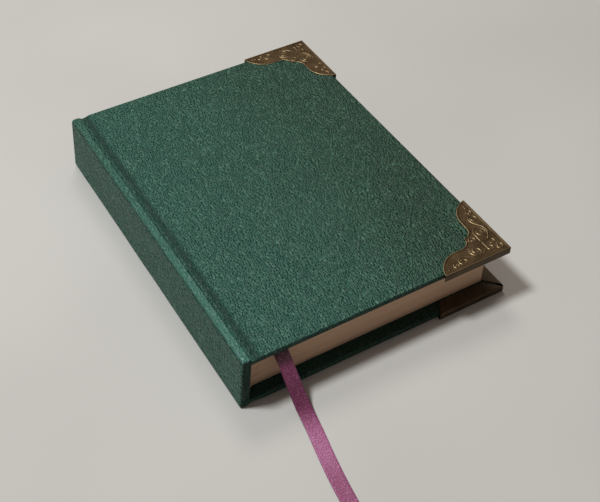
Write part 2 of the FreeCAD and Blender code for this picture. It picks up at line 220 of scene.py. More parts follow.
# ---- material helpers ----
class Nodes:
    """Short names for the shader nodes that the materials use."""

    def __init__(self, name):
        self.material = bpy.data.materials.new(name)
        self.material.use_nodes = True
        self.tree = self.material.node_tree
        self.shader = self.tree.nodes["Principled BSDF"]

    def put(self, target, value):
        """Gives a socket a value, or links it to another."""
        if isinstance(value, bpy.types.NodeSocket):
            self.tree.links.new(value, target)
        else:
            target.default_value = value

    def node(self, kind, inputs=(), **settings):
        """A new node; inputs give the names or numbers of its sockets, and what is put there."""
        made = self.tree.nodes.new(kind)
        for key, value in settings.items():
            setattr(made, key, value)
        for key, value in dict(inputs).items():
            self.put(made.inputs[key], value)
        return made

    def math(self, operation, a, b=0.0, c=0.0):
        return self.node("ShaderNodeMath", {0: a, 1: b, 2: c}, operation=operation).outputs[0]

    def times(self, a, b, plus=0.0):
        """The product of two values, with a third one added."""
        return self.math("MULTIPLY_ADD", a, b, plus)

    def mapping(self, source, scale, offset=(0, 0, 0), turn=0.0):
        inputs = {"Vector": source, "Scale": scale, "Location": offset, "Rotation": (0, 0, turn)}
        return self.node("ShaderNodeMapping", inputs).outputs[0]

    def uv(self):
        return self.node("ShaderNodeUVMap", uv_map="UVMap").outputs[0]

    def place(self):
        """Position on the object, in millimetres."""
        return self.mapping(self.node("ShaderNodeTexCoord").outputs["Object"], (1000, 1000, 1000))

    def noise(self, source, scale, detail, rough=0.5, offset=(0, 0, 0), turn=0.0, output="Fac"):
        place = self.mapping(source, scale, offset, turn)
        inputs = {"Vector": place, "Scale": 1.0, "Detail": detail, "Roughness": rough}
        return self.node("ShaderNodeTexNoise", inputs).outputs[output]

    def voronoi(self, source, feature, randomness):
        inputs = {"Vector": source, "Scale": 1.0, "Randomness": randomness}
        return self.node("ShaderNodeTexVoronoi", inputs, feature=feature).outputs["Distance"]

    def bands(self, source, axis, scale, distortion):
        """Straight soft bands across an axis."""
        inputs = {"Vector": source, "Scale": scale, "Distortion": distortion}
        return self.node("ShaderNodeTexWave", inputs, bands_direction=axis).outputs["Fac"]

    def axis(self, source, name):
        """One of the three parts of a place."""
        return self.node("ShaderNodeSeparateXYZ", {0: source}).outputs[name]

    def ramp(self, value, low, high, to_low=0.0, to_high=1.0, smooth=True):
        inputs = {"Value": value, "From Min": low, "From Max": high, "To Min": to_low, "To Max": to_high}
        kind = "SMOOTHSTEP" if smooth else "LINEAR"
        return self.node("ShaderNodeMapRange", inputs, interpolation_type=kind).outputs["Result"]

    def mix(self, factor, a, b):
        made = self.node("ShaderNodeMix", {"Factor": factor}, data_type="RGBA")
        for socket, value in zip([s for s in made.inputs if s.type == "RGBA"], (a, b)):
            self.put(socket, value)
        return [s for s in made.outputs if s.type == "RGBA"][0]

    def moved(self, source, by, amount):
        """source shifted by a colour-valued noise, to warp what follows."""
        centred = self.node("ShaderNodeVectorMath", {0: by, 1: (0.5, 0.5, 0.5)}, operation="SUBTRACT")
        inputs = {0: centred.outputs[0], 1: (amount, amount, amount), 2: source}
        return self.node("ShaderNodeVectorMath", inputs, operation="MULTIPLY_ADD").outputs[0]

    def attribute(self, name):
        return self.node("ShaderNodeAttribute", attribute_name=name).outputs["Fac"]

    def bump(self, height, depth_mm):
        inputs = {"Height": height, "Distance": depth_mm * MM, "Strength": 1.0}
        return self.node("ShaderNodeBump", inputs).outputs[0]

    def finish(self, colour, roughness, normal, **others):
        """The material, with its main values; others are named as their sockets, with _ for a space."""
        values = dict(Base_Color=colour, Roughness=roughness, Normal=normal, **others)
        for key, value in values.items():
            self.put(self.shader.inputs[key.replace("_", " ")], value)
        return self.material


# ---- materials ----
pebble_scatter = 0.65       # 0 sets the pebbles in even rows, 1 at random


def pebbles(n, flat):
    """The leather's grain: its height, the distance from the creases between its pebbles, and its wrinkles.
    Both are longer along the spine than across it."""
    warp = n.noise(flat, (0.14, 0.10, 1), 2.0, output="Color")
    warped = n.moved(flat, warp, 3.5)
    place = n.mapping(warped, (0.86, 0.48, 1), turn=0.1)
    domes = n.voronoi(place, "F1", pebble_scatter)
    wrinkles = n.noise(warped, (1.15, 0.40, 1), 0.0, turn=-0.1)
    folds = n.ramp(n.math("ABSOLUTE", n.math("SUBTRACT", wrinkles, 0.5)), 0.0, 0.10)
    height = n.times(folds, 0.35, plus=0.17)
    return n.math("SUBTRACT", height, domes), n.voronoi(place, "DISTANCE_TO_EDGE", pebble_scatter), wrinkles


def leather_material():
    """Pebbled leather, with painted highlights in a net of fine pale lines, and painted shade and a painted
    highlight on the two sides of each pebble.

    The mark runs from 0 on open leather to 1 where it is pressed smooth in the joints; edges have some. The
    same mark darkens them with painted shade.
    Below 0 the leather is polished by handling, on the ridges, and lightened there with a painted highlight."""
    n = Nodes("green_leather")
    flat = n.uv()
    pressed_and_shaded = n.attribute("mark")
    height, crease, wrinkles = pebbles(n, flat)
    # the rise from here to a place a little further from the key lamp tells whether this side of a pebble
    # faces the lamp, for painted light and shade
    further = n.mapping(flat, (1, 1, 1), offset=(0.36, -0.13, 0))
    facing = n.math("SUBTRACT", pebbles(n, further)[0], height)
    painted_ridge_highlight = n.ramp(pressed_and_shaded, -1.0, 0.0, 1.0, 0.0, smooth=False)
    rough = n.times(n.ramp(pressed_and_shaded, 0.35, 0.95, 1.0, 0.5), n.ramp(pressed_and_shaded, -1.0, -0.1, 0.45, 1.0))
    # slow changes of colour: random patches, and a painted sheen that falls off, so the leather is darker
    # towards the fore-edge, most of all at the tail
    across, along = n.axis(flat, "X"), n.axis(flat, "Y")
    patches = n.noise(flat, (0.02, 0.02, 1), 3.0)
    patches_and_painted_falloff = n.times(across, 0.0085, plus=n.times(patches, 0.55))
    patches_and_painted_falloff = n.times(along, 0.0010, plus=patches_and_painted_falloff)
    painted_fore_falloff = n.times(n.ramp(across, 60, 140, 0.0, 0.50), n.ramp(along, -105, 60, 1.5, 0.5))
    patches_and_painted_falloff = n.ramp(n.math("ADD", patches_and_painted_falloff, painted_fore_falloff), 0.1, 2.0, smooth=False)
    colour = n.mix(patches_and_painted_falloff, srgb(34, 85, 78), srgb(0, 34, 22))
    # painted highlight on the ridges, where the mark is below 0
    colour = n.mix(n.times(painted_ridge_highlight, 0.45), colour, srgb(84, 140, 128))
    # painted shade on each pebble's side away from the lamp, painted highlights on the net of creases and on
    # its side towards the lamp, and painted shade on the pressed places
    painted_shade_side = n.times(n.ramp(facing, -0.24, -0.02, 0.66, 0.0), rough)
    colour = n.mix(painted_shade_side, colour, srgb(8, 30, 27))
    painted_crease_highlight = n.times(n.ramp(crease, 0.02, 0.13, 0.41, 0.0), n.ramp(wrinkles, 0.38, 0.56, 0.65, 1.0))
    colour = n.mix(n.times(painted_crease_highlight, rough), colour, srgb(112, 156, 130))
    colour = n.mix(n.ramp(facing, 0.08, 0.26, 0.0, 0.20), colour, srgb(98, 146, 122))
    colour = n.mix(n.ramp(pressed_and_shaded, 0.1, 0.98, 0.0, 0.66), colour, srgb(13, 33, 26))
    roughness = n.times(pressed_and_shaded, 0.20, plus=n.ramp(height, -0.4, 0.5, 0.54, 0.40, smooth=False))
    shine = n.times(n.ramp(height, -0.5, 0.1, 0.05, 0.55), n.ramp(facing, -0.2, 0.1, 0.2, 1.0))
    return n.finish(colour, roughness, n.bump(n.times(height, rough), 0.70), Specular_IOR_Level=shine)


def paper_edge_material():
    """Cut edges of the leaves: fine uneven lines, one over another, with painted shade in the gaps between
    sheaves.
    """
    n = Nodes("page_edges")
    place = n.place()
    leaves = n.noise(place, (0.012, 0.012, 6.5), 3.0, 0.7)
    sheaves = n.noise(place, (0.006, 0.006, 0.75), 2.0)
    fibre = n.noise(place, (1.2, 1.2, 2.0), 2.0)
    shade = n.times(sheaves, 0.5, plus=n.times(leaves, 0.6))
    colour = n.mix(n.ramp(shade, 0.38, 0.68), srgb(196, 162, 134), srgb(206, 174, 147))
    # painted shade in the gaps between sheaves, stronger towards the spine
    painted_gap_shade = n.noise(place, (0.010, 0.010, 0.85), 1.0, offset=(0, 0, 4))
    painted_gap_shade = n.ramp(n.math("ABSOLUTE", n.math("SUBTRACT", painted_gap_shade, 0.5)), 0.0, 0.035, 0.6, 0.0)
    near_spine = n.ramp(n.axis(place, "X"), -74, -30, 1.0, 0.12)
    colour = n.mix(n.times(painted_gap_shade, near_spine), colour, srgb(92, 66, 48))
    height = n.times(fibre, 0.25, plus=leaves)
    return n.finish(colour, 0.85, n.bump(height, 0.10), Specular_IOR_Level=0.25)


def matt_material(name, cloud, spread, colours, grain, depth, roughness, specular):
    """Patches of two colours, and a grain in relief. Both are noises; the colour changes over a spread
    of the first one's values."""
    n = Nodes(name)
    place = n.place()
    colour = n.mix(n.ramp(n.noise(place, *cloud), *spread), *colours)
    return n.finish(colour, roughness, n.bump(n.noise(place, *grain), depth), Specular_IOR_Level=specular)


def lining_material():
    """Open-weave cloth glued to the back of the pages."""
    n = Nodes("lining_cloth")
    place = n.place()
    height = n.math("MAXIMUM", n.bands(place, "Y", 0.55, 0.6), n.bands(place, "Z", 0.55, 0.6))
    colour = n.mix(n.ramp(height, 0.2, 0.9), srgb(176, 164, 140), srgb(222, 212, 190))
    return n.finish(colour, 0.9, n.bump(height, 0.15), Specular_IOR_Level=0.2)


def brass_material():
    """Darkened brass: brown in the hollows, rubbed to gold on the raised lines and edges."""
    n = Nodes("antique_brass")
    place = n.place()
    raised = n.attribute("mark")
    stains = n.noise(place, (0.16, 0.16, 0.16), 4.0, 0.6)
    brushed = n.noise(place, (1.5, 1.5, 1.5), 4.0, 0.65)
    base = n.mix(n.ramp(stains, 0.35, 0.68), srgb(74, 60, 43), srgb(96, 80, 58))
    russet = n.noise(place, (0.3, 0.3, 0.3), 3.0, offset=(7, 3, 1))
    base = n.mix(n.ramp(russet, 0.58, 0.75, 0.0, 0.5), base, srgb(80, 58, 46))
    worn = n.ramp(n.times(brushed, 0.30, plus=raised), 0.62, 1.15)
    colour = n.mix(worn, base, srgb(158, 141, 107))
    hollow = n.ramp(raised, -1.0, -0.2, 0.80, 0.0)
    colour = n.mix(hollow, colour, srgb(76, 70, 63))
    roughness = n.ramp(n.times(stains, -0.5, plus=raised), -0.6, 0.9, 0.55, 0.32, smooth=False)
    height = n.times(stains, 0.6, plus=brushed)
    return n.finish(colour, roughness, n.bump(height, 0.02), Metallic=1.0)


def ribbon_material():
    """Plum satin: fine cross ribs, a soft sheen, darker woven edges, and painted shadow, shade and highlights
    along its run.
    """
    n = Nodes("ribbon_satin")
    flat = n.uv()
    ribs = n.bands(flat, "Y", 0.75, 0.4)
    threads = n.noise(flat, (5.0, 0.35, 1), 2.0)
    speck = n.noise(flat, (1.5, 1.7, 1), 1.0)
    painted_glints = n.noise(flat, (1.3, 1.0, 1), 1.0, offset=(5, 9, 0))
    edge = n.attribute("mark")
    run = n.axis(flat, "Y")
    colour = n.mix(n.ramp(speck, 0.34, 0.66), srgb(100, 30, 62), srgb(154, 60, 118))
    # painted shadow of the cover where it leaves the pages, painted shade where it turns down, and a painted
    # highlight where it bends out on to the table
    painted_turn_shade = n.times(n.ramp(run, 20, 30), n.ramp(run, 36, 52, 0.38, 0.0))
    colour = n.mix(n.math("MAXIMUM", painted_turn_shade, n.ramp(run, 11, 17, 0.80, 0.0)), colour, srgb(58, 12, 30))
    painted_sheen = n.times(n.ramp(run, 38, 60), n.ramp(run, 66, 86, 1.0, 0.20))
    painted_sheen = n.times(painted_sheen, n.ramp(speck, 0.40, 0.62, 0.12, 0.60))
    colour = n.mix(painted_sheen, colour, srgb(206, 132, 184))
    # painted glints: sparse pale dots of reflected light
    colour = n.mix(n.ramp(painted_glints, 0.60, 0.70, 0.0, 0.45), colour, srgb(222, 160, 204))
    colour = n.mix(n.ramp(edge, 0.55, 1.0, 0.0, 0.65), colour, srgb(70, 18, 44))
    height = n.times(threads, 0.8, plus=n.times(ribs, 0.5))
    return n.finish(colour, n.ramp(speck, 0.3, 0.7, 0.46, 0.34), n.bump(height, 0.07),
                    Sheen_Weight=0.35, Sheen_Roughness=0.35, Sheen_Tint=srgb(214, 150, 196),
                    Anisotropic=0.5, Specular_IOR_Level=0.7)


def headband_material():
    """Silk wound in bands of orange-red and cream; mark says which."""
    n = Nodes("headband_silk")
    band = n.attribute("mark")
    thread = n.noise(n.uv(), (1.0, 7.0, 1), 2.0)
    colour = n.mix(n.ramp(band, 0.2, 0.3), srgb(196, 74, 34), srgb(226, 208, 170))
    return n.finish(colour, 0.5, n.bump(thread, 0.06), Sheen_Weight=0.3)


leather_look = leather_material()
edge_look = paper_edge_material()
paper_look = matt_material("paper", ((0.05, 0.05, 0.05), 3.0), (0.2, 0.8),
                           (srgb(218, 205, 181), srgb(221, 208, 185)),
                           ((0.9, 0.5, 0.9), 4.0, 0.6), depth=0.03, roughness=0.8, specular=0.3)
card_fibre = ((1.6, 0.6, 1.6), 4.0, 0.65)
card_look = matt_material("card", card_fibre, (0.3, 0.7), (srgb(120, 104, 84), srgb(146, 130, 108)),
                          card_fibre, depth=0.08, roughness=0.9, specular=0.2)
floor_look = matt_material("pale_floor", ((0.004, 0.004, 0.004), 2.0), (0.35, 0.65),
                           (srgb(193, 192, 189), srgb(199, 198, 195)),
                           ((0.5, 0.5, 0.5), 3.0), depth=0.05, roughness=0.95, specular=0.1)
lining_look = lining_material()
brass_look = brass_material()
ribbon_look = ribbon_material()
silk_look = headband_material()


# ---- camera, lamps, floor ----
def make_camera():
    """The photo's viewpoint: above the tail end of the spine, looking down over the cover."""
    data = bpy.data.cameras.new("camera")
    data.lens = 66.074
    data.sensor_width = 36.0
    camera = add_object("camera", data)
    camera.location = (-0.22488, -0.40560, 0.44870)
    camera.rotation_euler = (math.radians(44.5), math.radians(-0.31), math.radians(-30.43))
    scene.camera = camera


def make_lamp(name, place, aim, size, power, colour):
    """A round soft lamp turned towards its aim."""
    data = bpy.data.lights.new(name, "AREA")
    data.shape = "DISK"
    data.size = size
    data.energy = power
    data.color = colour
    lamp = add_object(name, data)
    lamp.location = place
    lamp.rotation_euler = (Vector(aim) - Vector(place)).to_track_quat("-Z", "Y").to_euler()


def make_stage():
    """A wide plain floor."""
    data = bpy.data.meshes.new("floor")
    reach = 6.0
    data.from_pydata([(-reach, -reach, 0), (reach, -reach, 0), (reach, reach, 0), (-reach, reach, 0)],
                     [], [(0, 1, 2, 3)])
    data.materials.append(floor_look)
    add_object("floor", data)


def make_world():
    """Soft warm light from all round, behind a pale background that only the camera sees."""
    world = bpy.data.worlds.new("studio")
    world.use_nodes = True
    tree = world.node_tree
    soft, seen = tree.nodes["Background"], tree.nodes.new("ShaderNodeBackground")
    for light, colour, strength in ((soft, (1.0, 0.84, 0.74, 1), 0.18), (seen, srgb(226, 224, 219), 1.0)):
        light.inputs["Color"].default_value = colour
        light.inputs["Strength"].default_value = strength
    camera_ray = tree.nodes.new("ShaderNodeLightPath").outputs["Is Camera Ray"]
    choose = tree.nodes.new("ShaderNodeMixShader")
    for source, target in zip((camera_ray, soft.outputs[0], seen.outputs[0]), choose.inputs):
        tree.links.new(source, target)
    tree.links.new(choose.outputs[0], tree.nodes["World Output"].inputs["Surface"])
    scene.world = world


make_camera()
make_world()
make_lamp("key", (-0.57, 0.19, 1.39), (0, 0, 0), 0.27, 16.4, (0.98, 1.0, 1.0))
make_lamp("behind", (0.30, 0.80, 1.30), (-0.08, -0.10, 0), 0.55, 5.6, (1.0, 0.93, 0.86))
make_stage()
scene.view_settings.view_transform = "Standard"


# ---- ribbon ----
ribbon_width = 8.5
ribbon_sheet = 0.3
ribbon_head_x = 14.0        # its glued end at the head, from the spine's face
ribbon_head_margin = 4.0    # and from the pages' head
ribbon_leave_x = 24.6       # where it leaves the pages at the tail, from the spine's face
ribbon_overlap = 2.5        # the loose part starts this far inside the pages,
ribbon_reach = 2.9          # and runs on this far past them before it bends down
edge_loop_pitch = 1.3       # the small woven loops along its edges: their spacing,
edge_loop_depth = 0.03      # their depth as a share of half the width,
edge_thinness = 0.35        # and their thickness as a share of the ribbon's
ribbon_height = pages_high[2] - ribbon_sheet / 2
ribbon_start = np.array([spine_x + ribbon_head_x, pages_high[1] - ribbon_head_margin, ribbon_height])
ribbon_leave = np.array([spine_x + ribbon_leave_x, pages_low[1], ribbon_height])


def ribbon_route():
    """The route of the loose ribbon, as in the part: inside the pages, out over their edge, and down."""
    slope = (ribbon_leave - ribbon_start) / np.linalg.norm(ribbon_leave - ribbon_start)
    points = [ribbon_leave - slope * ribbon_overlap, ribbon_leave + slope * ribbon_reach]
    table = ribbon_sheet / 2
    for across, out, height in [(0.6, -6.9, 26.4), (1.3, -11.2, 19.6), (2.1, -17.2, 10.4),
                                (2.5, -23.6, 3.3), (2.3, -31.0, table), (0.7, -40.5, table),
                                (-2.0, -54.5, table), (-4.9, -73.5, table), (-6.6, -91.0, table)]:
        points.append(np.array([ribbon_leave[0] + across, ribbon_leave[1] + out, height]))
    return points


def spline_points(route):
    """Points along the smooth spline that has the route's points as its control points."""
    curve = bpy.data.curves.new("ribbon_line", "CURVE")
    curve.dimensions = "3D"
    curve.resolution_u = 24
    spline = curve.splines.new("NURBS")
    spline.points.add(len(route) - 1)
    for point, place in zip(spline.points, route):
        point.co = (*(place * MM), 1)
    spline.order_u = 3
    spline.use_endpoint_u = True
    holder = bpy.data.objects.new("ribbon_line", curve)
    mesh = bpy.data.meshes.new_from_object(holder)
    line = np.array([v.co for v in mesh.vertices]) / MM
    bpy.data.objects.remove(holder)
    bpy.data.meshes.remove(mesh)
    bpy.data.curves.remove(curve)
    return line


def even_line(line, step):
    """The same line with points an even step apart."""
    along = lengths(line)
    count = max(2, round(along[-1] / step))
    wanted = np.linspace(0, along[-1], count + 1)
    return np.stack([np.interp(wanted, along, line[:, k]) for k in range(3)], 1)


def make_ribbon(name, line, body, nodes):
    """A woven strip along a line, with small loops along its edges."""
    along = np.gradient(line, axis=0)
    along /= np.linalg.norm(along, axis=1)[:, None]
    side = np.stack([-along[:, 1], along[:, 0], np.zeros(len(line))], 1)
    side /= np.linalg.norm(side, axis=1)[:, None]
    up = np.cross(along, side)
    run = lengths(line)
    across = np.linspace(-1, 1, 13)
    loops = 1 - edge_loop_depth * (0.5 + 0.5 * np.sin(run * 2 * math.pi / edge_loop_pitch))
    shell = Shell()
    at_edge = np.abs(across) == 1
    reach = side[:, None] * (across * ribbon_width / 2 * np.where(at_edge, loops[:, None], 1.0))[..., None]
    lift = up[:, None] * (ribbon_sheet / 2 * np.where(at_edge, edge_thinness, 1.0))[:, None]
    top, under = line[:, None] + reach + lift, line[:, None] + reach - lift
    maps = np.stack(np.meshgrid(across * ribbon_width / 2, run), -1)
    shell.grid(top, maps, mark=np.abs(across) ** 6)
    shell.grid(under, maps, mark=np.abs(across) ** 6, flip=True)
    for rim in ((top[:, -1], under[:, -1]), (under[:, 0], top[:, 0]),
                (under[0], top[0]), (top[-1], under[-1])):
        rim = np.stack(rim, 1)
        shell.grid(rim, np.zeros(rim.shape[:2] + (2,)), mark=1.0)
    piece = shell.make(name, ribbon_look, sharp=80, fix_normals=True)
    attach(piece, body)
    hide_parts(*nodes)
    return piece


loose_line = even_line(spline_points(ribbon_route()), 0.45)
loose_ribbon = make_ribbon("ribbon", loose_line, "book_block", ["ribbon_loose"])
pressed_line = even_line(np.array([ribbon_start, ribbon_route()[0]]), 3.0)
make_ribbon("ribbon_in_pages", pressed_line, "book_block", ["ribbon_pressed"])


# ---- leather ----
def face_x(z):
    """The spine's leaning outer face."""
    return spine_x + spine_lean * z / total_height


def ridge_x(z):
    """The side of the spine's ridge, at the joint."""
    return face_x(z) + ridge_width


def crown_drop(x, z):
    """How far the ridge's rounding brings a point of the spine in towards mid-height."""
    from_face = total_height / 2 - abs(z - total_height / 2)
    middle = (face_x(z) + ridge_x(z)) / 2
    across = min(1.0, (2 * (x - middle) / ridge_width) ** 2)
    return ridge_crown * across * min(1.0, max(0.0, crown_reach - from_face) / crown_fade)


def end_rows(round_size):
    """Steps of a rounded edge: how far out along the end, and how far in from the surface."""
    turns = np.linspace(0, math.pi / 2, 6)
    return round_size * np.sin(turns), round_size * (1 - np.cos(turns))


def rows_along(round_size):
    """Heights of the mesh rows from tail to head, with the inset of each from the outer surface."""
    out, inset = end_rows(round_size)
    middle = np.linspace(tail_y + round_size, head_y - round_size,
                         math.ceil((head_y - tail_y) / row_step))
    tail = tail_y + round_size - out[:0:-1]
    head = head_y - round_size + out[1:]
    return (np.concatenate([tail, middle, head]),
            np.concatenate([inset[:0:-1], np.zeros(len(middle)), inset[1:]]))


def hand_worked(points, normals):
    """The surface with its slight unevenness."""
    moved = points.copy()
    for index in np.ndindex(points.shape[:2]):
        x, y, z = points[index]
        lift = sum(share * noise.noise(Vector((x / across, y / along, z / across)))
                   for across, along, share in hand_waves)
        moved[index] += normals[index] * lift * unevenness
    return moved


def swept(section, ys):
    """A section's points, in X and Z, at each of the places along the spine."""
    points = np.zeros((len(ys), len(section), 3))
    points[..., 0], points[..., 1], points[..., 2] = section[:, 0], ys[:, None], section[:, 1]
    return points


def spine_marks(ys, insets, normals):
    """The spine is smooth at both ends and where the shoulder folds, and darkened there with painted shade;
    it is polished on its ridges and lightened there with a painted highlight, more so towards the tail."""
    smooth_shaded_ends = np.clip(1.3 * insets / cap_round, 0, 1)[:, None]
    # painted shade: a dark line where the shoulder folds
    fold = np.exp(-((normals[:, 1] - 0.42) / 0.30) ** 2) * (normals[:, 0] < 0)
    tailward = (head_y - ys) / (head_y - tail_y)
    on_ridge = np.clip(normals[:, 1] * 3 - 1.6, 0, 1) * (normals[:, 0] < 0.4)
    polish_and_painted_highlight = on_ridge[None, :] * (0.35 + 0.65 * tailward)[:, None]
    return np.where(smooth_shaded_ends > 0.1, smooth_shaded_ends, 0.7 * fold[None, :] - polish_and_painted_highlight)


def add_spine(shell):
    """Leather round the spine board: a closed loop with rounded ends."""
    middle = ((ridge_x(0) + ridge_x(total_height)) / 2, total_height / 2)
    corners = [middle, (ridge_x(0), 0), (face_x(0), 0), (face_x(total_height), total_height),
               (ridge_x(total_height), total_height), middle]
    loop = rounded(corners, [ridge_round, shoulder_round, shoulder_round, ridge_round])
    loop = refined(loop, spine_step)[:-1]
    for point in loop:
        point[1] += math.copysign(crown_drop(*point), total_height / 2 - point[1])
    normals = left_normals(loop, closed=True)
    ys, insets = rows_along(cap_round)
    closed = np.vstack([loop, loop[:1]])
    facing = np.vstack([normals, normals[:1]])
    # the grain is stretched to twice its height on the spine's face
    coarser = 1 - 0.5 * np.clip(-2 * facing[1:, 0] - 1, 0, 1)
    along = np.concatenate([[0], np.cumsum(np.diff(lengths(closed)) * coarser)])
    outward = swept(facing, np.zeros(len(ys)))
    points = swept(closed, ys) - outward * insets[:, None, None]
    inner_side = (facing[:, 0] > 0.8) & (closed[:, 1] > 1) & (closed[:, 1] < total_height - 1)
    outward[:, inner_side] = 0
    outward[insets > 0] = 0
    points = hand_worked(points, outward)
    run = np.concatenate([[0], np.cumsum(np.hypot(np.diff(ys), np.diff(insets)))])
    maps = np.stack(np.meshgrid(along, run), -1)
    first = shell.grid(points, maps, mark=spine_marks(ys, insets, facing))
    count = len(closed)
    shell.faces.append([first + j for j in range(count - 1)][::-1])
    shell.faces.append([first + (len(ys) - 1) * count + j for j in range(count - 1)])


def valley_x(back):
    """Middle of a joint, which is also its hinge line."""
    return (ridge_x(0 if back else total_height) + joint_x) / 2


def cover_section(back):
    """Leather from the side of the spine's ridge, down into the joint's valley and over the board."""
    corner = ridge_x(0 if back else total_height) - ridge_round
    start = np.array([corner + ridge_round * math.sin(ridge_contact),
                      total_height - ridge_round * (1 - math.cos(ridge_contact))])
    start[1] -= crown_drop(start[0], total_height - start[1] if back else start[1])
    valley = (valley_x(back), cover_top - joint_depth)
    board = (slope_end_x, cover_top)
    path = hermite(start, valley, -math.tan(ridge_contact), 0.0, 16)
    path += hermite(valley, board, 0.0, 0.0, 18)[1:]
    path.append((fore_x - cover_round, cover_top))
    return refined(np.array(path), row_step)


def hermite(start, end, start_slope, end_slope, count):
    """Points of a smooth curve between two places, with its slope at each."""
    width = end[0] - start[0]
    points = []
    for t in np.linspace(0, 1, count):
        height = ((2 * t ** 3 - 3 * t ** 2 + 1) * start[1] + (t ** 3 - 2 * t ** 2 + t) * width * start_slope
                  + (3 * t ** 2 - 2 * t ** 3) * end[1] + (t ** 3 - t ** 2) * width * end_slope)
        points.append((start[0] + width * t, height))
    return points


def joint_press_and_shade(xs, back):
    """How far the grain is pressed smooth and darkened with painted shade, from 0 on the board to 1 in the
    joint's valley.
    """
    past_valley = xs - valley_x(back)
    return np.where(past_valley < 0, np.clip(1 + past_valley / ridge_side_fade, 0, 1),
                    np.clip(1.5 - past_valley / board_side_fade, 0, 1))


def edge_line(start, normal, outward, depth, lower_x=-math.inf):
    """Points from a cover's face round its edge, down, and in over the board."""
    out, inset = end_rows(cover_round)
    points = [start + outward * d - normal * h for d, h in zip(out, inset)]
    upper = points[-1]
    lower = np.array([max(lower_x, upper[0]), upper[1], cover_inner + cover_round])
    points += [upper + (lower - upper) * k / 3 for k in (1, 2, 3)]
    points += [lower - outward * h - np.array([0, 0, d]) for d, h in zip(out[1:], inset[1:])]
    points.append(points[-1] - outward * max(0.0, depth - cover_round))
    return np.array(points)


def add_edge(shell, lines, starts, outwards, pressed_and_shaded, flip):
    """Quads over a run of edge lines; the grain's map goes on past the cover's face."""
    maps = [start + outward[None, :2] * lengths(line)[:, None]
            for line, start, outward in zip(lines, starts, outwards)]
    # fairly smooth on the edge and wholly smooth where it is turned in; the same mark darkens both with
    # painted shade
    step = np.arange(len(lines[0]))
    smooth = np.where(step > 8, 1.0, np.where(step > 2, 0.8, 0.0))
    shell.grid(lines, np.array(maps), mark=np.maximum(pressed_and_shaded[:, None], smooth), flip=flip)


def add_cover(shell, back):
    """A cover's leather: its face from the joint to the fore-edge, and its turned-in edges."""
    section = cover_section(back)
    normals = left_normals(section)
    along = lengths(section)
    ys = np.linspace(tail_y + cover_round, head_y - cover_round, math.ceil((head_y - tail_y) / row_step))
    outward = swept(normals, np.zeros(len(ys)))
    outward[[0, -1]] = 0
    outward[:, -1] = 0
    # the joint's valley: pressed smooth, and darkened with painted shade
    pressed_and_shaded = joint_press_and_shade(section[:, 0], back)
    shell.grid(hand_worked(swept(section, ys), outward), np.stack(np.meshgrid(along, ys), -1),
               mark=pressed_and_shaded)

    up = np.array([0.0, 0.0, 1.0])
    none = np.zeros(1)

    def fore_line(y, outward, depth):
        return edge_line(np.array([section[-1][0], y, cover_top]), up, outward, depth)

    for end, y in ((-1.0, ys[0]), (1.0, ys[-1])):
        # tail or head
        direction = np.array([0.0, end, 0.0])
        lower_x = -math.inf
        lines, starts = [], []
        for (x, z), (across, rise), run in zip(section, normals, along):
            lower_x = max(lower_x, x - across * cover_round)
            lines.append(edge_line(np.array([x, y, z]), np.array([across, 0, rise]), direction,
                                   min(turned_in, fore_x - x), lower_x))
            starts.append(np.array([run, y]))
        add_edge(shell, lines, starts, [direction] * len(lines), pressed_and_shaded, end > 0)
        # corner, swept round to the fore-edge
        directions = [np.array([math.sin(turn), end * math.cos(turn), 0.0])
                      for turn in np.linspace(0, math.pi / 2, 6)]
        lines = [fore_line(y, d, cover_round) for d in directions]
        add_edge(shell, lines, [np.array([along[-1], y])] * len(directions), directions, none, end > 0)
    # fore-edge
    direction = np.array([1.0, 0.0, 0.0])
    lines = [fore_line(y, direction, min(turned_in, y - tail_y, head_y - y)) for y in ys]
    add_edge(shell, lines, [np.array([along[-1], y]) for y in ys], [direction] * len(ys), none, False)


def add_joint_inside(shell, back):
    """The leather's inner face across the joint, which shows when the cover is open."""
    section = cover_section(back)
    inner = (section - left_normals(section) * leather)[section[:, 0] < joint_x + joint_overlap]
    ys = np.linspace(tail_y + turned_in, head_y - turned_in, sheet_rows)
    shell.grid(swept(inner, ys), np.stack(np.meshgrid(inner[:, 0], ys), -1), flip=True)


def bend(piece, back):
    """The piece's placement is baked into its mesh, the same way for either cover."""
    if back:
        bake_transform(piece)
    else:
        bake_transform(piece)


def make_leather():
    """Two pieces: the spine with the front cover, and the back cover."""
    for name, cover, back, nodes in (
            ("leather_front", "front_cover", False, ("spine_leather", "front_leather")),
            ("leather_back", "back_cover", True, ("back_leather",))):
        shell = Shell(turned_over=back)
        if not back:
            add_spine(shell)
        add_cover(shell, back)
        add_joint_inside(shell, back)
        piece = shell.make(name, leather_look, sharp=75)
        bend(piece, back)
        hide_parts(*nodes)


make_leather()


# ---- endpapers ----
def make_endpaper(name, node, back):
    """A pasted sheet from the fold at the back of the pages, across the joint and over the board."""
    low, high = pastedown_bottom, pastedown_bottom + endpaper
    past_joint = joint_x + joint_overlap
    xs = np.concatenate([np.linspace(pages_low[0], past_joint, 15),
                         np.linspace(past_joint, pages_high[0], 50)[1:]])
    ys = np.linspace(pages_low[1], pages_high[1], sheet_rows)
    shell = Shell(turned_over=back)
    maps = np.stack(np.meshgrid(xs, ys), -1)
    under, over = [np.concatenate([maps, np.full(maps.shape[:2] + (1,), z)], -1) for z in (low, high)]
    shell.grid(under, maps, flip=True)
    shell.grid(over, maps)
    for a, b, flip in ((under[0], over[0], False), (under[-1], over[-1], True),
                       (under[:, 0], over[:, 0], True), (under[:, -1], over[:, -1], False)):
        rim = np.stack([a, b])
        shell.grid(rim, rim[..., :2], flip=flip)
    piece = shell.make(name, paper_look)
    bend(piece, back)
    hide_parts(node)


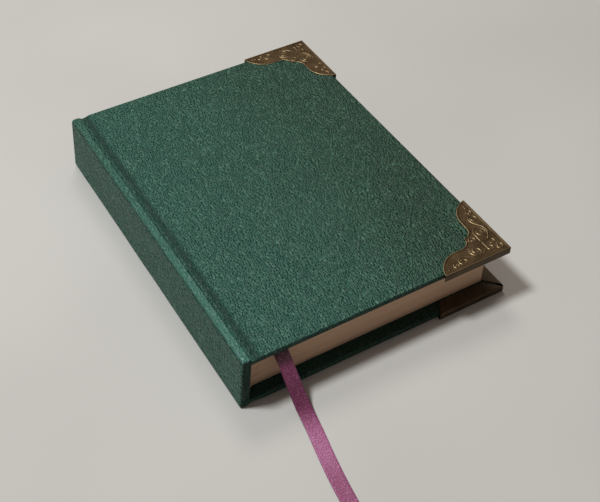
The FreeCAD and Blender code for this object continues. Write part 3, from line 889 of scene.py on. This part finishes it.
make_endpaper("endpaper_front", "front_pastedown", back=False)
make_endpaper("endpaper_back", "back_pastedown", back=True)


# ---- headbands ----
silk_pitch = 0.62           # from one turn of the silk to the next
silk_rib = 0.07             # depth of the dip between turns, as a share of the roll
silk_band = 3               # turns of one colour


def make_headband(name, node, outward):
    """Silk wound over a core: a half-round roll with a rib for each turn."""
    low, high = box_mm(node)
    width, depth = (high - low)[:2]
    base_y = low[1] if outward > 0 else high[1]
    zs = np.linspace(low[2], high[2], 260)
    turns = np.linspace(0, math.pi, 13)
    rib = 1 - silk_rib * (1 + np.cos(zs * 2 * math.pi / silk_pitch))
    points = np.zeros((len(zs), len(turns), 3))
    points[..., 0] = low[0] + width / 2 - np.outer(rib, np.cos(turns)) * width / 2
    points[..., 1] = base_y + outward * np.outer(rib, np.sin(turns)) * depth
    points[..., 2] = zs[:, None]
    turn_number = np.floor(zs / silk_pitch + 0.5).astype(int)
    band = np.choose((turn_number // silk_band) % 2, [0.0, 0.5])
    maps = np.stack(np.meshgrid(turns * width / 2, zs), -1)
    shell = Shell()
    shell.grid(points, maps, mark=band[:, None], flip=outward > 0)
    piece = shell.make(name, silk_look, sharp=120)
    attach(piece, "book_block")
    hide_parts(node)


make_headband("headband_silk_tail", "headband_tail", -1)
make_headband("headband_silk_head", "headband_head", 1)


# ---- corner guards ----
# Each is worked out from its tip: u runs along one arm, v across it, and depth goes in from its face.
guard_leg = 42.4
guard_waist = 12.2
guard_cusp = 18.0
guard_lobe = 14.4
guard_end = 1.0
guard_sheet = 0.5
guard_fold = 0.45
guard_depth = guard_high[2] - guard_low[2]
flap_mitre, flap_slant, flap_width = 1.2, 5.0, 8.1
relief = 0.28               # the field is sunk this far below the rim and scrolls
border = 1.3                # plain band along the folds
scroll_half_width = 0.26
line_softness = 0.42        # the raised lines' width where they end, and along the rim
rim_middle = 0.3            # the rim's crest, in from the plate's edge
tip_length = 3.0            # the mesh is even finer this near to the tip
mesh_step = 0.17

# Marks of wear on the brass: about 1 where it is rubbed, below 0 in dark hollows.
rubbed_rim, rubbed_fold, rubbed_edge, rubbed_lip = 0.9, 0.85, 0.8, 0.3
lower_fold, cut_end, tip_corner = 0.35, 0.4, 0.5
dark_field, dark_wall, dark_flap = -0.5, -0.6, -0.75

# The scrolls of the part: a start, a heading and steps of (radius, turn) or (length, 0).
arm_scrolls = [
    ((6.5, 12.2), 129, [(2.6, 0), (7.2, -39), (5.0, -35), (3.4, 0), (6.5, 35), (2.4, 180), (1.7, 200)]),
    ((11.2, 12.4), 90, [(5.6, 0), (3.4, 180), (2.5, 180), (1.6, 210)]),
    ((11.2, 11.0), 270, [(5.0, 0), (1.6, -225)]),
    ((5.3, 33.2), 90, [(1.5, 225), (0.9, 120)]),
    ((3.9, 36.0), 110, [(2.6, 0)]),
]
middle_scrolls = [
    ((4.6, 6.7), 180, [(2.0, 180), (1.4, 160)]),
    ((16.7, 15.1), 90, [(1.8, 180), (1.2, 160)]),
]


def scroll_line(start, heading, steps):
    """Points close together along a scroll's middle line."""
    place = np.array(start, float)
    angle = math.radians(heading)
    points = [place]
    for size, turn in steps:
        sweep = math.radians(turn)
        length = size * abs(sweep) if turn else size
        count = math.ceil(length / 0.1)
        for _ in range(count):
            angle += sweep / count / 2
            place = place + np.array([math.cos(angle), math.sin(angle)]) * length / count
            points.append(place)
            angle += sweep / count / 2
    return np.array(points)


guard_lines = [scroll_line(*scroll) for scroll in arm_scrolls]
guard_lines += [line[:, ::-1] for line in guard_lines]
guard_lines += [scroll_line(*scroll) for scroll in middle_scrolls]


def plate_limit(u):
    """Width of an arm's plate at a distance from the tip."""
    rise = guard_waist - guard_end
    lobe_radius = (guard_lobe ** 2 + rise ** 2) / (2 * rise)
    lobe_start = guard_leg - guard_lobe
    notch = guard_cusp - guard_waist
    if u <= guard_cusp:
        return guard_cusp
    if u <= guard_cusp + notch:
        across = guard_cusp + notch - u
        return guard_waist + notch - math.sqrt(max(0.0, notch ** 2 - across ** 2))
    if u <= lobe_start:
        return guard_waist
    return guard_waist - lobe_radius + math.sqrt(max(0.0, lobe_radius ** 2 - (u - lobe_start) ** 2))


def scroll_relief(points):
    """Height of the scrolls, from 0 to 1, and how near the metal beside them is, at points of the plate."""
    height = np.zeros(len(points))
    near = np.full(len(points), 9.0)
    for line in guard_lines:
        eye = line[-1]
        bead = np.linalg.norm(points - eye, axis=1)
        height = np.maximum(height, np.exp(-(bead / line_softness) ** 2 * 1.4))
        for part in np.array_split(line, max(1, len(line) // 40)):
            inside = np.all((points > part.min(0) - 1.5) & (points < part.max(0) + 1.5), axis=1)
            if inside.any():
                gap = np.linalg.norm(points[inside][:, None] - part[None], axis=2).min(1)
                height[inside] = np.maximum(height[inside], np.exp(-(gap / scroll_half_width) ** 2 * 1.4))
                near[inside] = np.minimum(near[inside], gap)
    return height, near


def add_plate(shell, put, swap, us, flip):
    """One arm's half of the plate: a plain border at the fold, the sunk field and the rim."""
    limits = np.array([plate_limit(u) for u in us])
    across = np.linspace(0, 1, round(guard_waist / mesh_step))
    far = np.maximum(guard_fold, np.minimum(us, limits))
    v = guard_fold + (far - guard_fold)[:, None] * across
    u = np.broadcast_to(us[:, None], v.shape)
    plate = np.stack([u, v], -1)
    slope = np.hypot(1, np.gradient(limits, us)).clip(1, 2.5)[:, None]
    gap = np.where(u >= guard_cusp, np.minimum((limits[:, None] - v) / slope, guard_leg - u),
                   np.hypot(guard_cusp - u, guard_cusp - v))
    scrolls, near = [a.reshape(v.shape) for a in scroll_relief(swap(plate).reshape(-1, 2))]
    rim = np.exp(-((gap - rim_middle) / line_softness) ** 2)
    band = np.clip((border - v) / 0.4, 0, 1)
    height = np.maximum.reduce([scrolls, rim * 0.95, band * band * (3 - 2 * band)])
    beside = np.where((near > 0.5) & (near < 1.2), dark_field, 0.0)
    fold_wear = rubbed_fold * np.exp(-((v - guard_fold) / 0.30) ** 2)
    mark = np.clip(np.maximum.reduce([beside + scrolls * 1.3, rim * rubbed_rim, fold_wear]), -1, 1)
    shell.grid(put(plate, relief * (1 - height)), plate, mark=mark, flip=flip)
    # the plate's edge, down to the leather
    outer = plate[:, -1]
    lower = outer + np.array([0, 0.05])
    sunk = relief * (1 - height[:, -1])
    edge = np.stack([outer, lower, lower], 1)
    depth = np.stack([sunk, sunk + 0.1, np.full(len(us), guard_sheet + 0.02)], 1)
    cusp_row = np.searchsorted(us, guard_cusp - mesh_step)
    shell.grid(put(edge, depth), edge, mark=rubbed_edge, from_row=cusp_row, flip=flip)


def wall_profile():
    """Section of a fold, the outer wall and the lower fold, as (v, depth)."""
    turns = np.linspace(0, math.pi / 2, 5)
    fold = [(guard_fold * (1 - math.sin(t)), guard_fold * (1 - math.cos(t))) for t in turns]
    straight = [(0, guard_fold + (guard_depth - 2 * guard_fold) * k / 6) for k in range(1, 7)]
    lower = [(guard_fold * (1 - math.cos(t)), guard_depth - guard_fold * (1 - math.sin(t)))
             for t in turns[1:]]
    return np.array(fold + straight + lower)


def add_wall(shell, put, us, flip):
    """The outer wall over the cover's edge, with the folds above and below it."""
    profile = wall_profile()
    wall = np.zeros((len(us), len(profile), 2))
    wall[..., 0], wall[..., 1] = us[:, None], profile[:, 0]
    depth = np.broadcast_to(profile[:, 1], wall.shape[:2])
    folds = np.where(profile[:, 1] < 1, rubbed_fold, lower_fold)
    wear = np.where(profile[:, 0] > 0.05, folds, dark_wall)
    shell.grid(put(wall, depth), np.stack([wall[..., 0], -depth], -1), mark=wear, flip=not flip)
    # the wall's end shows the sheet's thickness
    end = np.stack([wall[-1], np.maximum(wall[-1], [0, guard_sheet])])
    end_depth = np.stack([depth[-1], np.clip(depth[-1], guard_sheet, guard_depth - guard_sheet)])
    shell.grid(put(end, end_depth), end, mark=cut_end, flip=flip)


def add_flap(shell, put, us, flip):
    """The flap inside the cover: mitred at the tip, slanted at the arm's end."""
    widths = np.clip(np.minimum(us - flap_mitre, (guard_leg - us) * flap_width / flap_slant), 0, flap_width)
    steps = np.linspace(0, 1, 9)
    flap = np.zeros((len(us), len(steps), 2))
    flap[..., 0] = us[:, None]
    flap[..., 1] = guard_fold + np.outer(np.maximum(widths - guard_fold, 0), steps)
    depth = np.full(flap.shape[:2], guard_depth)
    at_lip = steps[None, :] > 0.95
    shell.grid(put(flap, depth), flap, mark=dark_flap + 1.1 * at_lip, flip=not flip)
    lip = flap[:, [-1, -1]]
    shell.grid(put(lip, depth[:, [-1, -1]] - [0, guard_sheet]), lip, mark=rubbed_lip, flip=not flip)


def add_tip(shell, put, flip):
    """The corner between the two walls."""
    profile = wall_profile()
    turns = np.linspace(0, math.pi / 2, 6)
    reach = guard_fold - profile[:, 0]
    corner = guard_fold - np.stack([np.outer(np.sin(turns), reach), np.outer(np.cos(turns), reach)], -1)
    depth = np.broadcast_to(profile[:, 1], corner.shape[:2])
    shell.grid(put(corner, depth), corner, mark=tip_corner, flip=flip)


def make_guard(name, node, body, at_head, front):
    """A folded sheet: the ornamented plate, its outer walls and the two flaps inside the cover."""
    shell = Shell()
    arm_rows = round((guard_leg - tip_length) / mesh_step)
    us = np.concatenate([np.linspace(guard_fold, tip_length, 16),
                         np.linspace(tip_length, guard_leg, arm_rows)[1:]])

    def place(points, depth):
        """From the tip's coordinates to the notebook's: u along the tail, v up the fore-edge."""
        x = guard_high[0] - points[..., 0]
        y = guard_low[1] + points[..., 1]
        z = total_height - depth if front else depth
        return np.stack([x, -y if at_head else y, np.broadcast_to(z, x.shape)], -1)

    def add_arm(swap, flip):
        def put(points, depth):
            return place(swap(points), depth)
        add_plate(shell, put, swap, us, flip)
        add_wall(shell, put, us, flip)
        add_flap(shell, put, us, flip)

    inside_out = at_head == front
    add_arm(lambda points: points, inside_out)
    add_arm(lambda points: points[..., ::-1], not inside_out)
    add_tip(shell, place, inside_out)
    piece = shell.make(name, brass_look, sharp=60, merge=0.002)
    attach(piece, body)
    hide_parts(node)


for side in ("front", "back"):
    for end in ("tail", "head"):
        make_guard("guard_%s_%s" % (side, end), "%s_guard_%s" % (side, end), side + "_cover",
                   at_head=end == "head", front=side == "front")


# ---- CAD solids that keep their shape, with materials of their own ----
for node, look in (("text_block", edge_look), ("front_flyleaf", paper_look), ("back_flyleaf", paper_look),
                   ("front_board", card_look), ("back_board", card_look), ("spine_board", card_look),
                   ("spine_lining", lining_look)):
    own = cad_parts[node].data.materials
    own.clear()
    own.append(look)
